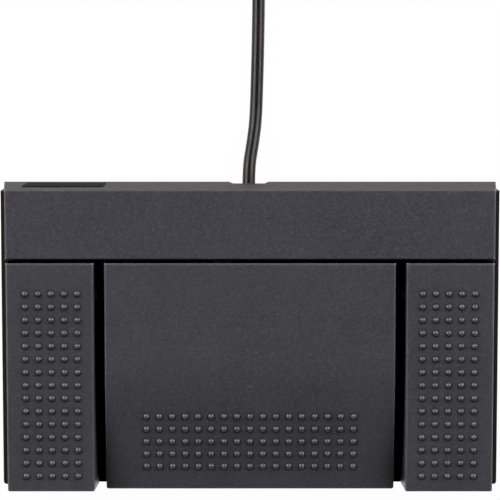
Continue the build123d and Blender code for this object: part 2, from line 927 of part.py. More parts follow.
def rear_cover():
    """The fixed bar across the rear, with its bosses and shaft keepers."""
    cover = cover_shell() + [cover_ear(-1), cover_ear(1)]
    pieces = []
    for x in cover_screws:
        ceiling = main_top(cover_screw_y) - cover_top / 2
        pieces.append(rod_z(cover_boss_diameter / 2, x, cover_screw_y, cover_post_high, ceiling))
    for middle, thickness in hinge_ribs:
        pieces.append(block(
            middle - thickness / 2, middle + thickness / 2, hinge_y - keeper_width / 2,
            hinge_y + keeper_width / 2, hinge_height + bush_bore, main_top(hinge_y) - cover_top / 2,
        ))
    cover = cover + pieces
    outlet_top = wall_foot_height + outlet_height
    below = outlet_foot_width / 2 + (outlet_foot_width - outlet_top_width) / 2 * overrun / outlet_height
    outlet = prism_y(
        [
            (cable_exit_x - outlet_top_width / 2, outlet_top),
            (cable_exit_x + outlet_top_width / 2, outlet_top),
            (cable_exit_x + below, wall_foot_height - overrun),
            (cable_exit_x - below, wall_foot_height - overrun),
        ],
        wall_y(outlet_top, cover_wall) - overrun / 2, wall_foot_y + overrun,
    )
    cover = cover - outlet
    for x in cover_screws:
        high = floor_low + cover_screw_recess + cover_screw_length
        cover = cover - rod_z(screw_diameter / 2, x, cover_screw_y, cover_post_high - overrun, high)
    return cover


def rear_label():
    """A bare label plate on the rear wall."""
    lean = radians(wall_lean)
    low = wall_foot_height + label_bottom
    frame = Plane(
        origin=(label_centre_x, wall_y(low), low), x_dir=(1, 0, 0), z_dir=(0, cos(lean), sin(lean)),
    )
    outline = Pos(0, -label_height / 2) * RectangleRounded(label_width, label_height, label_corner())
    return extrude(frame * outline, amount=label_thickness)


def label_corner():
    """The rounding of the label's corners."""
    return label_height / 16


# Screws
def driven_screw(x, y, head_face, up, diameter, head_diameter, head_height, length):
    """A pan-head screw; head_face is where the head bears, and up is 1 if its head is above."""
    head = rod_z(head_diameter / 2, x, y, min(head_face, head_face + up * head_height),
                 max(head_face, head_face + up * head_height))
    shank = rod_z(diameter / 2, x, y, min(head_face, head_face - up * length),
                  max(head_face, head_face - up * length))
    top = head_face + up * head_height
    drive = rod_z(drive_diameter / 2, x, y, min(top - up * drive_depth, top + up * overrun),
                  max(top - up * drive_depth, top + up * overrun))
    return head + shank - drive


def cover_screw_group():
    """The four long screws up through the posts into the cover."""
    face = floor_low + cover_screw_recess
    return Compound(children=[
        driven_screw(x, cover_screw_y, face, -1, screw_diameter, screw_head_diameter,
                     screw_head_height, cover_screw_length)
        for x in cover_screws
    ])


def small_screw(x, y, face, length):
    """A small screw driven from above."""
    return driven_screw(x, y, face, 1, small_screw_diameter, small_screw_head_diameter,
                        small_screw_head_height, length)


def board_screw_group():
    """The screws that hold the circuit board to its posts."""
    return Compound(children=[
        small_screw(x, board_y, board_high, small_screw_length) for x in board_screws_x
    ])


def ballast_screw_group():
    """The screws that hold the ballast plate to the floor."""
    face = floor_high + ballast_thickness
    length = ballast_thickness + ballast_screw_bite
    return Compound(children=[small_screw(x, ballast_middle_y, face, length) for x in ballast_screws_x])


def clamp_screw_group():
    """The screws that hold the cable clamp down."""
    face = clamp_low() + clamp_thickness
    return Compound(children=[
        small_screw(cable_exit_x + side * clamp_screw_offset, clamp_y, face, small_screw_length)
        for side in (-1, 1)
    ])


# Stops, shaft and springs
def stop_pads(places, y, high_of):
    """Round rubber pads on their posts."""
    group = []
    for name in pedal_middles:
        for x in places[name]:
            high = high_of(name)
            group.append(rod_z(pad_diameter / 2, x, y, high - pad_thickness, high))
    return Compound(children=group)


def hinge_shaft():
    """The steel shaft through all three pedals."""
    shaft = rod_x(shaft_radius, hinge_y, hinge_height, -shaft_half, shaft_half)
    return chamfer(shaft.edges().filter_by(GeomType.CIRCLE), shaft_radius / 6)


def return_spring(name):
    """A compression spring between the floor's seat and the pedal's boss."""
    radius = (spring_diameter - spring_wire) / 2
    low = spring_seat_high + spring_wire / 2
    high = spring_seat_low(name) - spring_gap - spring_wire / 2
    rise = (high - low) / (2 * pi * spring_turns)
    points = []
    tangents = []
    steps_per_turn = 2
    for step in range(steps_per_turn * spring_turns + 1):
        turn = 2 * pi * step / steps_per_turn
        points.append((
            pedal_middles[name] + radius * cos(turn), spring_y + radius * sin(turn), low + rise * turn,
        ))
        tangents.append((-radius * sin(turn), radius * cos(turn), rise))
    path = Wire(wound_path(points, tangents))
    start = Plane(origin=points[0], z_dir=Vector(*tangents[0]))
    return sweep(start * Circle(spring_wire / 2), path=path)


# Circuit board
def circuit_board():
    """The board under the switches, with its screw holes."""
    board = block(-board_half, board_half, board_y - board_depth / 2, board_y + board_depth / 2,
                  board_low, board_high)
    for x in board_screws_x:
        hole = small_screw_diameter / 2 + screw_hole_clearance
        board = board - rod_z(hole, x, board_y, board_low - overrun, board_high + overrun)
    return board


def switch_body(name):
    """A push switch's housing, with the bore that its plunger slides in."""
    x = pedal_middles[name]
    half = switch_width / 2
    housing = block(x - half, x + half, switch_y - half, switch_y + half, board_high,
                    board_high + switch_height)
    housing = chamfer(housing.edges().filter_by(Axis.Z), switch_base)
    bore = plunger_diameter / 2 + running_fit
    return housing - rod_z(bore, x, switch_y, board_high + switch_base,
                           board_high + switch_height + overrun)


def switch_plunger(name):
    """The plunger that a pedal's actuator presses."""
    x = pedal_middles[name]
    top = actuator_tip() - plunger_top_gap
    bottom = board_high + plunger_rest
    plunger = rod_z(plunger_diameter / 2, x, switch_y, bottom, top)
    return fillet(plunger.edges().filter_by(GeomType.CIRCLE).sort_by(Axis.Z)[-1], switch_base / 2)


def controller_chip():
    """The controller, with its rows of legs."""
    body_low = board_high + chip_leg_height
    body = block(chip_x - chip_length / 2, chip_x + chip_length / 2, board_y - chip_width / 2,
                 board_y + chip_width / 2, body_low, board_high + chip_height)
    legs = []
    for side in (-1, 1):
        edge = board_y + side * chip_width / 2
        y_low = min(edge - side * chip_leg_reach / 2, edge + side * chip_leg_reach)
        for index in range(chip_legs):
            x = chip_x + (index - (chip_legs - 1) / 2) * chip_leg_pitch
            legs.append(block(x - chip_leg_width / 2, x + chip_leg_width / 2, y_low,
                              y_low + chip_leg_reach * 3 / 2, board_high, board_high + 2 * chip_leg_height))
    return body + legs


def board_socket():
    """The cable's socket on the board, open to the rear."""
    rear = board_y + board_depth / 2 - socket_setback
    housing = block(socket_x - socket_width / 2, socket_x + socket_width / 2, rear - socket_depth, rear,
                    board_high, board_high + socket_height)
    room = block(
        socket_x - socket_width / 2 + socket_wall, socket_x + socket_width / 2 - socket_wall,
        rear - socket_depth + socket_wall, rear + overrun,
        board_high + socket_wall, board_high + socket_height - socket_wall,
    )
    return housing - room


def inner_plug_middle():
    """The height of the middle of the socket and of the plug in it."""
    return board_high + socket_height / 2


def inner_plug():
    """The plug on the inner lead, in the board's socket."""
    rear = board_y + board_depth / 2 - socket_setback
    width = socket_width - 2 * socket_wall - 2 * foot_clearance
    front = rear - socket_depth + socket_wall
    return block(socket_x - width / 2, socket_x + width / 2, front, front + inner_plug_length + socket_depth,
                 inner_plug_middle() - inner_plug_height / 2, inner_plug_middle() + inner_plug_height / 2)


def rounded_tube(points, diameter):
    """A round tube along straight runs, with each corner as round as its runs allow."""
    places = [Vector(*point) for point in points]
    radii = []
    for index in range(1, len(places) - 1):
        before = places[index] - places[index - 1]
        after = places[index + 1] - places[index]
        half_turn = radians(before.get_angle(after)) / 2
        radii.append(run_share * min(before.length, after.length) / tan(half_turn))
    path = FilletPolyline(*points, radius=radii)
    heading = (places[1] - places[0]).normalized()
    section = Plane(origin=places[0], z_dir=heading) * Circle(diameter / 2)
    tube = sweep(section, path=path)
    return tube, path.length, radii


def inner_lead():
    """The lead from the grommet, under the clamp and round to the board's socket."""
    grommet_front = grommet_rear() - grommet_length
    plug_rear = board_y + board_depth / 2 - socket_setback + socket_wall + inner_plug_length
    low = (cable_exit_x, grommet_front, cable_height)
    clamp_end = (cable_exit_x, clamp_y - clamp_depth, cable_height)
    turn_in = (socket_x, plug_rear + lead_diameter, inner_plug_middle())
    end = (socket_x, plug_rear, inner_plug_middle())
    tube, length, radii = rounded_tube([low, clamp_end, turn_in, end], lead_diameter)
    print("inner lead", round(length, 1), "mm, bends", [round(radius, 1) for radius in radii])
    return tube


def cable_grommet():
    """The rubber grommet moulded on the cable, with its flange between the cheeks."""
    rear = grommet_rear()
    body = rod_y(grommet_diameter / 2, cable_exit_x, cable_height, rear - grommet_length, rear)
    low = rear - flange_setback - flange_thickness
    flange = block(cable_exit_x - flange_width / 2, cable_exit_x + flange_width / 2, low,
                   low + flange_thickness, floor_high, cable_height + flange_rise)
    return body + flange


def cable_clamp():
    """The bar that holds the lead down on its saddle."""
    clamp = block(cable_exit_x - clamp_width / 2, cable_exit_x + clamp_width / 2,
                  clamp_y - clamp_depth / 2, clamp_y + clamp_depth / 2,
                  clamp_low(), clamp_low() + clamp_thickness)
    clamp = fillet(clamp.edges().filter_by(Axis.Z), clamp_depth / 4)
    for side in (-1, 1):
        hole = small_screw_diameter / 2 + screw_hole_clearance
        clamp = clamp - rod_z(hole, cable_exit_x + side * clamp_screw_offset, clamp_y,
                              clamp_low() - overrun, clamp_low() + clamp_thickness + overrun)
    return clamp


# Cable, coil, tie and plug
coil_half_band = turns_per_layer * coil_pitch / 2
coil_outer = coil_radius + coil_half_band
coil_inner = coil_radius - coil_half_band
coil_centre_x = coil_start_x - coil_outer
coil_low = tie_thickness + tie_gap + cable_radius
coil_high = coil_low + (coil_layers - 1) * coil_pitch
plug_height = coil_high + cable_radius + plug_rise_gap + plug_body_height / 2


def smooth_step(share):
    """A climb from 0 to 1 that starts and ends level."""
    share = min(1, max(0, share))
    return share * share * (3 - 2 * share)


def coil_place(turn):
    """A point of the coil: layers spiral in and out in turn, and climb where they reverse."""
    layer_turn = 2 * pi * turns_per_layer
    within = turn / layer_turn
    fold = within % 2
    outward = 1 - fold if fold <= 1 else fold - 1
    radius = coil_inner + (coil_outer - coil_inner) * outward
    height = coil_low
    for layer in range(1, coil_layers):
        height += coil_pitch * smooth_step((turn - layer * layer_turn) / pi + 1 / 2)
    last = coil_layers * layer_turn
    height += (plug_height - coil_high) * smooth_step((turn - last) / (pi / 2) + 1)
    return (coil_centre_x + radius * cos(turn), coil_centre_y + radius * sin(turn), height)


def coil_heading(turn):
    """The direction of the coil at a point, level and round where the layers reverse."""
    step = pi / 1000
    before = Vector(*coil_place(turn - step))
    after = Vector(*coil_place(turn + step))
    return (after - before).normalized()


def coil_turns():
    """The angles of the points that the coil's arcs pass through."""
    quarters = round(4 * coil_layers * turns_per_layer)
    return [index * pi / 2 for index in range(quarters + 1)]


def coil_end():
    """Where the tail of the coil ends, and its heading, at the plug."""
    last = coil_turns()[-1]
    leave = Vector(-sin(last), cos(last), 0)
    inward = Vector(-cos(last), -sin(last), 0)
    place = Vector(*coil_place(last)) + (leave + inward) * coil_tail_radius
    return place, inward


def cable_coil():
    """The put-away coil, one tube, with straight ends of one diameter."""
    turns = coil_turns()
    points = [coil_place(turn) for turn in turns]
    headings = [Vector(-sin(turns[0]), cos(turns[0]), 0)]
    headings += [coil_heading(turn) for turn in turns[1:-1]]
    headings.append(Vector(-sin(turns[-1]), cos(turns[-1]), 0))
    tail, inward = coil_end()
    straight = cable_diameter * coil_end_straights
    first = Vector(*points[0]) - headings[0] * straight
    arcs = wound_path(points, headings)
    leave = wound_path([points[-1], tail], [headings[-1], inward])
    path = Wire([Line(first, points[0])] + arcs + leave + [Line(tail, tail + inward * straight)])
    section = Plane(origin=first, z_dir=headings[0]) * Circle(cable_radius)
    return sweep(section, path=path), path.length


def coil_self_gap():
    """The least gap between a coil's turns, measured on points along it."""
    per_turn = 72
    last = coil_turns()[-1]
    count = round(last / (2 * pi) * per_turn)
    places = [coil_place(last * index / count) for index in range(count + 1)]
    least = coil_outer
    for index in range(len(places)):
        for other in range(index + per_turn // 2, len(places)):
            span = sqrt(sum((a - b) ** 2 for a, b in zip(places[index], places[other])))
            least = min(least, span)
    return least - cable_diameter


def usb_cable():
    """The free stretch of the cable, from the grommet along the floor to the coil."""
    start = (cable_exit_x, grommet_rear(), cable_height)
    coil_start = coil_place(0)
    straight = cable_diameter * coil_end_straights
    end = (coil_start[0], coil_start[1] - straight, coil_start[2])
    route = [(x, wall_foot_y + behind, z) for x, behind, z in cable_route]
    tube, length, radii = rounded_tube([start] + route + [end], cable_diameter)
    print("cable stretch", round(length, 1), "mm, bends", [round(radius) for radius in radii])
    print("volume over section times length", round(tube.volume / (pi * cable_radius ** 2 * length), 4))
    return tube, length


def cable_tie():
    """The tie round the bundle of turns, flat on the floor."""
    half = tie_width / 2
    radii = []
    for index in range(round(coil_layers * turns_per_layer)):
        place = coil_place(2 * pi * index + radians(tie_angle))
        radii.append(sqrt((place[0] - coil_centre_x) ** 2 + (place[1] - coil_centre_y) ** 2))
    inner_side = sqrt((min(radii) - cable_radius) ** 2 - half * half) - 2 * tie_gap
    outer_side = max(radii) + cable_radius + 2 * tie_gap
    top = coil_high + cable_radius + tie_gap
    outer = block(inner_side - tie_thickness, outer_side + tie_thickness, -half, half,
                  0, top + tie_thickness)
    inner = block(inner_side, outer_side, -half - overrun, half + overrun, tie_thickness, top)
    band = outer - inner
    band = fillet(band.edges().filter_by(Axis.Y), tie_thickness / 3)
    return Pos(coil_centre_x, coil_centre_y, 0) * Rot(0, 0, tie_angle) * band


def plug_frame(along=0.0):
    """A plane across the plug, at a distance along it; its Y is up."""
    place, heading = coil_end()
    straight = cable_diameter * coil_end_straights
    side = heading.cross(Vector(0, 0, 1))
    return Plane(origin=place + heading * (straight + along), x_dir=-side, z_dir=heading)


def plug_body():
    """The plug's moulded grip and its tapered strain relief."""
    grip_frame = plug_frame(plug_relief_length)
    grip = extrude(grip_frame * RectangleRounded(plug_body_width, plug_body_height, plug_body_radius),
                   amount=plug_body_length)
    front = grip.faces().sort_by_distance(plug_frame(plug_relief_length + plug_body_length).origin)[0]
    grip = fillet(front.edges(), plug_body_radius / 3)
    relief = loft([
        plug_frame() * Circle(cable_radius + plug_shell_wall),
        grip_frame * Circle(plug_relief_diameter / 2),
    ])
    return grip + relief


def plug_shell():
    """The plug's steel shell, a thin box tube with its four windows."""
    start = plug_relief_length + plug_body_length
    frame = plug_frame(start)
    outer = extrude(frame * Rectangle(plug_shell_width, plug_shell_height), amount=plug_shell_length)
    inner = extrude(frame * Rectangle(plug_shell_width - 2 * plug_shell_wall,
                                      plug_shell_height - 2 * plug_shell_wall), amount=plug_shell_length)
    windows = []
    for side in (-1, 1):
        middle = plug_frame(start + plug_window_reach) * Pos(side * plug_window_offset, 0, 0)
        windows.append(middle * Box(plug_window, plug_shell_height + overrun, plug_window))
    return outer - inner - windows


def plug_tongue():
    """The plastic tongue inside the shell, in its upper half."""
    start = plug_relief_length + plug_body_length
    rise = plug_shell_height / 2 - plug_shell_wall - plug_tongue_height / 2
    outline = Pos(0, rise) * Rectangle(plug_tongue_width, plug_tongue_height)
    return extrude(plug_frame(start) * outline, amount=plug_shell_length - plug_tongue_setback)


def plug_contacts():
    """The four contacts on the tongue's lower face."""
    start = plug_relief_length + plug_body_length
    drop = plug_shell_height / 2 - plug_shell_wall - plug_tongue_height - plug_contact_height / 2
    group = []
    for index in range(plug_contact_count):
        across = (index - (plug_contact_count - 1) / 2) * plug_contact_pitch
        outline = Pos(across, drop) * Rectangle(plug_contact_width, plug_contact_height)
        group.append(extrude(plug_frame(start) * outline, amount=plug_contact_length))
    return Compound(children=group)


def build():
    """Every node of the object, by name."""
    nodes = {
        "base_tray": base_tray(),
        "rubber_feet": rubber_feet(),
        "ballast_plate": ballast_plate(),
        "ballast_screws": ballast_screw_group(),
        "rear_cover": rear_cover(),
        "rear_label": rear_label(),
        "cover_screws": cover_screw_group(),
        "hinge_shaft": hinge_shaft(),
        "rest_pads": stop_pads(rest_places, rest_y, lambda name: rest_pad_high),
        "stop_pads": stop_pads(stop_places, stop_y, stop_pad_high),
        "circuit_board": circuit_board(),
        "board_screws": board_screw_group(),
        "controller_chip": controller_chip(),
        "board_socket": board_socket(),
        "inner_plug": inner_plug(),
        "inner_lead": inner_lead(),
        "cable_grommet": cable_grommet(),
        "cable_clamp": cable_clamp(),
        "clamp_screws": clamp_screw_group(),
        "cable_tie": cable_tie(),
        "usb_plug_body": plug_body(),
        "usb_plug_shell": plug_shell(),
        "usb_plug_tongue": plug_tongue(),
        "usb_plug_contacts": plug_contacts(),
    }
    spans = {
        "left": (-side_outer, -side_inner, -1),
        "centre": (-centre_half, centre_half, 0),
        "right": (side_inner, side_outer, 1),
    }
    for name, (x_low, x_high, outer_side) in spans.items():
        nodes[name + "_pedal"] = pedal(name, x_low, x_high, outer_side)
        nodes[name + "_bushes"] = bushes(name)
        nodes[name + "_spring"] = return_spring(name)
        nodes[name + "_switch_body"] = switch_body(name)
        nodes[name + "_switch_plunger"] = switch_plunger(name)
    nodes["usb_cable"], stretch_length = usb_cable()
    nodes["cable_coil"], coil_length = cable_coil()
    print("coil", round(coil_length, 1), "mm, least gap between turns", round(coil_self_gap(), 2), "mm")
    print("cable from grommet to plug", round(stretch_length + coil_length, 1), "mm")
    print("front travel", round(main_top(front_y) - pressed(front_y, main_top(front_y))[1], 2), "mm")
    return nodes


os.makedirs("parts", exist_ok=True)
for node_name, node in build().items():
    export_step(node, os.path.join("parts", node_name + ".step"))
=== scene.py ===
import json
import math

import bmesh
import bpy
from mathutils import Matrix, Vector


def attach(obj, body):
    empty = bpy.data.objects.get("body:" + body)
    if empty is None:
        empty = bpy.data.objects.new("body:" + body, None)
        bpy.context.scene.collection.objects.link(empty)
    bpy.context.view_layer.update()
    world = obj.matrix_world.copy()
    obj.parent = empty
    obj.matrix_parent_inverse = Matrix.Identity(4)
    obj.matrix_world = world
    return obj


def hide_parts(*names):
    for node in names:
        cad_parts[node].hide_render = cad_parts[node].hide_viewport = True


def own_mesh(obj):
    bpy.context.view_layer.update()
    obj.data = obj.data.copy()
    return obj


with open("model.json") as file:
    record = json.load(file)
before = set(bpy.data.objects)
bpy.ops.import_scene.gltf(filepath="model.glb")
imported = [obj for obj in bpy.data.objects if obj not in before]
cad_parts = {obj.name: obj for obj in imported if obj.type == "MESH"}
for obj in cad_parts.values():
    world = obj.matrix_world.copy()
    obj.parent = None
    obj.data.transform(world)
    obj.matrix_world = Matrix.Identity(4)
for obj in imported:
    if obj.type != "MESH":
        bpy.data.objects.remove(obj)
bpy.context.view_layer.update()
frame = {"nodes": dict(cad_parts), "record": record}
nodes = frame["nodes"]

# Everything is in metres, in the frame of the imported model.

# Camera, straight above the object
camera_height = 0.845
camera_y = -0.00465
camera_lens = 143.2
camera_sensor = 36.0
camera_shift_y = 0.19
camera_clip = 0.01

# Cable: its free stretch along the floor, then the put-away coil
cable_diameter = 0.0054
cable_exit = (-0.0005, 0.06237, 0.0083)
cable_route = [
    (-0.0005, 0.0704, 0.0083),
    (0.0010, 0.0794, 0.0057),
    (0.0024, 0.0899, 0.0031),
    (0.0029, 0.1039, 0.0027),
    (0.0034, 0.1234, 0.0027),
    (0.0037, 0.1434, 0.0028),
    (0.00365, 0.1584, 0.00355),
    (0.0034, 0.1714, 0.0038),
    (0.0034, 0.1840, 0.0038),
]
coil_centre = (-0.031475, 0.1894)
coil_outer = 0.034875
coil_inner = 0.020125
coil_pitch = 0.0059
coil_layers = 4
turns_per_layer = 2.5
coil_low = 0.0038
coil_high = 0.0215
plug_height = 0.0283
points_per_turn = 16
coil_tail = [
    (0.0034, 0.1934, 0.0283),
    (0.0004, 0.2007, 0.0283),
    (-0.0053, 0.2064, 0.0283),
    (-0.0126, 0.2094, 0.0283),
    (-0.0178, 0.2094, 0.0283),
    (-0.0220, 0.2094, 0.0283),
]

# Angles over which the coil climbs from a layer to the next, and from the last one to the plug
layer_climb = math.pi
plug_climb = math.pi / 2

# Facets of the cord's surface, from one control point to the next and around a quarter of it
cord_steps_along = 8
cord_steps_around = 6

# Plug grip ridges
ridge_first_x = -0.0405
ridge_pitch = 0.0022
ridge_count = 8
ridge_reach_y = 0.0046
ridge_radius = 0.0006
ridge_seam = ridge_radius / 100
ridge_segments = 16
ridge_rings = 10
plug_y = 0.2094
plug_face = 0.0038

# Floor
floor_half = 40.0
floor_colour = (0.90, 0.90, 0.90, 1.0)
floor_glow = 0.98

# World: its brightness by how high and how far to the rear a direction points
horizon_z = 0.02
overhead_z = 0.34
horizon_level = 0.27
overhead_level = 0.05
front_y = -0.5
rear_y = 0.8
front_level = 0.22
rear_level = 1.70

# Lamps: angles in degrees, anticlockwise from the right, and power in watts
lamp_distance = 1.3
lamp_size = 1.05
lamp_elevation = 35.0
left_lamp_azimuth = 150.0
left_lamp_power = 17.7
right_lamp_azimuth = 31.0
right_lamp_power = 15.5

# Noise keeps mostly between these two values
noise_low = 0.32
noise_high = 0.68
no_stretch = (1.0, 1.0, 1.0)

# Sockets of the mixing nodes that share a name
mix_factor = 0
mix_colours = (6, 7)
mix_colour_result = 2
mix_surfaces = (1, 2)

white = (1.0, 1.0, 1.0, 1.0)
black = (0.0, 0.0, 0.0, 1.0)


def srgb(red, green, blue):
    """A colour written from 0 to 255, as the shader's linear colour."""
    levels = []
    for level in (red, green, blue):
        share = level / 255
        if share <= 0.04045:
            levels.append(share / 12.92)
        else:
            levels.append(((share + 0.055) / 1.055) ** 2.4)
    return (levels[0], levels[1], levels[2], 1.0)


def shade(colour, amount):
    """A colour made lighter or darker."""
    return (colour[0] * amount, colour[1] * amount, colour[2] * amount, 1.0)


def new_material(name):
    """An empty material with its surface shader."""
    material = bpy.data.materials.new(name)
    material.use_nodes = True
    tree = material.node_tree
    tree.nodes.clear()
    output = tree.nodes.new("ShaderNodeOutputMaterial")
    shader = tree.nodes.new("ShaderNodeBsdfPrincipled")
    tree.links.new(shader.outputs["BSDF"], output.inputs["Surface"])
    return material, tree, shader


def object_place(tree, stretch=no_stretch):
    """The place on the object, stretched for streaks."""
    place = tree.nodes.new("ShaderNodeTexCoord")
    mapping = tree.nodes.new("ShaderNodeMapping")
    mapping.inputs["Scale"].default_value = stretch
    tree.links.new(place.outputs["Object"], mapping.inputs["Vector"])
    return mapping.outputs["Vector"]


def noise(tree, scale, detail, stretch=no_stretch):
    """Soft noise over the surface, its scale in waves per metre."""
    texture = tree.nodes.new("ShaderNodeTexNoise")
    texture.inputs["Scale"].default_value = scale
    texture.inputs["Detail"].default_value = detail
    tree.links.new(object_place(tree, stretch), texture.inputs["Vector"])
    return texture.outputs["Fac"]


def cells(tree, scale, feature):
    """A cell pattern over the surface, its scale in cells per metre."""
    texture = tree.nodes.new("ShaderNodeTexVoronoi")
    texture.feature = feature
    texture.inputs["Scale"].default_value = scale
    tree.links.new(object_place(tree), texture.inputs["Vector"])
    return texture.outputs["Distance"]


def spread(tree, value, to_low, to_high, from_low=noise_low, from_high=noise_high):
    """A value brought from one range into another, and kept in it."""
    node = tree.nodes.new("ShaderNodeMapRange")
    node.inputs["From Min"].default_value = from_low
    node.inputs["From Max"].default_value = from_high
    node.inputs["To Min"].default_value = to_low
    node.inputs["To Max"].default_value = to_high
    tree.links.new(value, node.inputs["Value"])
    return node.outputs["Result"]


def combine(tree, kind, first, second):
    """The sum, the product, the larger or the smaller of two values."""
    node = tree.nodes.new("ShaderNodeMath")
    node.operation = kind
    for index, value in enumerate((first, second)):
        if isinstance(value, (int, float)):
            node.inputs[index].default_value = value
        else:
            tree.links.new(value, node.inputs[index])
    return node.outputs["Value"]


def blended(tree, factor, first, second):
    """One colour passing into another."""
    node = tree.nodes.new("ShaderNodeMix")
    node.data_type = "RGBA"
    tree.links.new(factor, node.inputs[mix_factor])
    for index, value in zip(mix_colours, (first, second)):
        if isinstance(value, tuple):
            node.inputs[index].default_value = value
        else:
            tree.links.new(value, node.inputs[index])
    return node.outputs[mix_colour_result]


def raised(tree, shader, height, strength, depth):
    """A bump on the surface from a height."""
    node = tree.nodes.new("ShaderNodeBump")
    node.inputs["Strength"].default_value = strength
    node.inputs["Distance"].default_value = depth
    tree.links.new(height, node.inputs["Height"])
    tree.links.new(node.outputs["Normal"], shader.inputs["Normal"])


def facing(tree, axis, start, end):
    """From 0 to 1 as a face's direction along an axis goes from the start to the end."""
    geometry = tree.nodes.new("ShaderNodeNewGeometry")
    parts = tree.nodes.new("ShaderNodeSeparateXYZ")
    tree.links.new(geometry.outputs["Normal"], parts.inputs["Vector"])
    return spread(tree, parts.outputs[axis], 0.0, 1.0, start, end)


# Worn edges: outer edges that shoes rub smooth, most of all on top, and whose pale tone is partly worn
# plastic and partly a painted highlight
edge_reach = 0.0005
edge_samples = 6
edge_closed = 0.55
edge_clear = 0.93
scuff_scale = 180.0
scuff_least = 0.55
edge_top_start = 0.1
edge_top_end = 0.6
edge_top_share = 0.92
edge_side_share = 0.08
wear_and_highlight_lift = 16.0
wear_polish = -0.16


def worn_and_highlit_edges(tree):
    """1 along outer edges and 0 on flat faces, scuffed unevenly."""
    inside = tree.nodes.new("ShaderNodeAmbientOcclusion")
    inside.inside = True
    inside.only_local = True
    inside.samples = edge_samples
    inside.inputs["Distance"].default_value = edge_reach
    edge = spread(tree, inside.outputs["AO"], 1.0, 0.0, edge_closed, edge_clear)
    scuffed = spread(tree, noise(tree, scuff_scale, detail=4.0), scuff_least, 1.0)
    return combine(tree, "MULTIPLY", edge, scuffed)


def rubbed_and_highlit(tree, tone, sheen, colour, wear_and_highlight):
    """A tone and a sheen with the outer edges worn smooth and lifted pale, partly worn plastic and partly a
    painted highlight.
    """
    upward = facing(tree, "Z", edge_top_start, edge_top_end)
    worn_and_highlit_share = combine(tree, "MULTIPLY", upward, edge_top_share * wear_and_highlight)
    worn_and_highlit_share = combine(tree, "ADD", worn_and_highlit_share, edge_side_share * wear_and_highlight)
    edge = combine(tree, "MULTIPLY", worn_and_highlit_edges(tree), worn_and_highlit_share)
    # Painted highlight: the worn edges' tone is lifted far paler than the plastic
    tone = blended(tree, edge, tone, shade(colour, wear_and_highlight_lift))
    sheen = combine(tree, "ADD", sheen, combine(tree, "MULTIPLY", edge, wear_polish))
    return tone, sheen


# Painted shade: the tone darkened at the foot of each bump, mostly on its front side, and on the tops next
# to the gaps
shelter_samples = 8
foot_reach = 0.0028
foot_closed = 0.80
foot_clear = 0.99
foot_most = 0.99
front_start = 0.15
front_end = -0.35
front_share = 0.75
round_share = 0.25
gap_reach = 0.019
gap_closed = 0.80
gap_clear = 1.0
gap_most = 0.86
top_start = 0.85
top_end = 0.95


def sheltered(tree, reach, own, closed, clear, most):
    """From 0 on open faces up to the most where others stand close by, on the same piece or on any."""
    shelter = tree.nodes.new("ShaderNodeAmbientOcclusion")
    shelter.only_local = own
    shelter.samples = shelter_samples
    shelter.inputs["Distance"].default_value = reach
    return spread(tree, shelter.outputs["AO"], most, 0.0, closed, clear)


def with_painted_shade(tree, tone, painted_shade):
    """A tone darkened with painted shade where the pedals' surface is sheltered, most of all on the front
    side of each bump.
    """
    forward = combine(tree, "MULTIPLY", facing(tree, "Y", front_start, front_end), front_share)
    # Painted shade at the foot of each bump, stronger on its front side
    foot_shade = sheltered(tree, foot_reach, True, foot_closed, foot_clear, foot_most)
    foot_shade = combine(tree, "MULTIPLY", foot_shade, combine(tree, "ADD", forward, round_share))
    # Painted shadow of the taller neighbours on the tops next to the gaps
    gap_shade = sheltered(tree, gap_reach, False, gap_closed, gap_clear, gap_most)
    gap_shade = combine(tree, "MULTIPLY", gap_shade, facing(tree, "Z", top_start, top_end))
    return blended(tree, combine(tree, "MAXIMUM", foot_shade, gap_shade), tone, painted_shade)


# Moulded plastic
plastic_cloud_scale = 40.0
plastic_patch_scale = 640.0
plastic_patch_share = 0.6
plastic_patch_lift = 5
plastic_speck_scale = 1300.0
plastic_speck_low = 0.56
plastic_speck_high = 0.72
plastic_speck_lift = 1.9
plastic_sheen_scale = 95.0
plastic_sheen_below = 0.025
plastic_sheen_above = 0.03
plastic_grain_scale = 1100.0
plastic_cell_scale = 2600.0
plastic_cell_share = 0.4
plastic_grain_depth = 0.00012
wall_start = 0.80
wall_end = 0.97
wall_dullness = 0.30


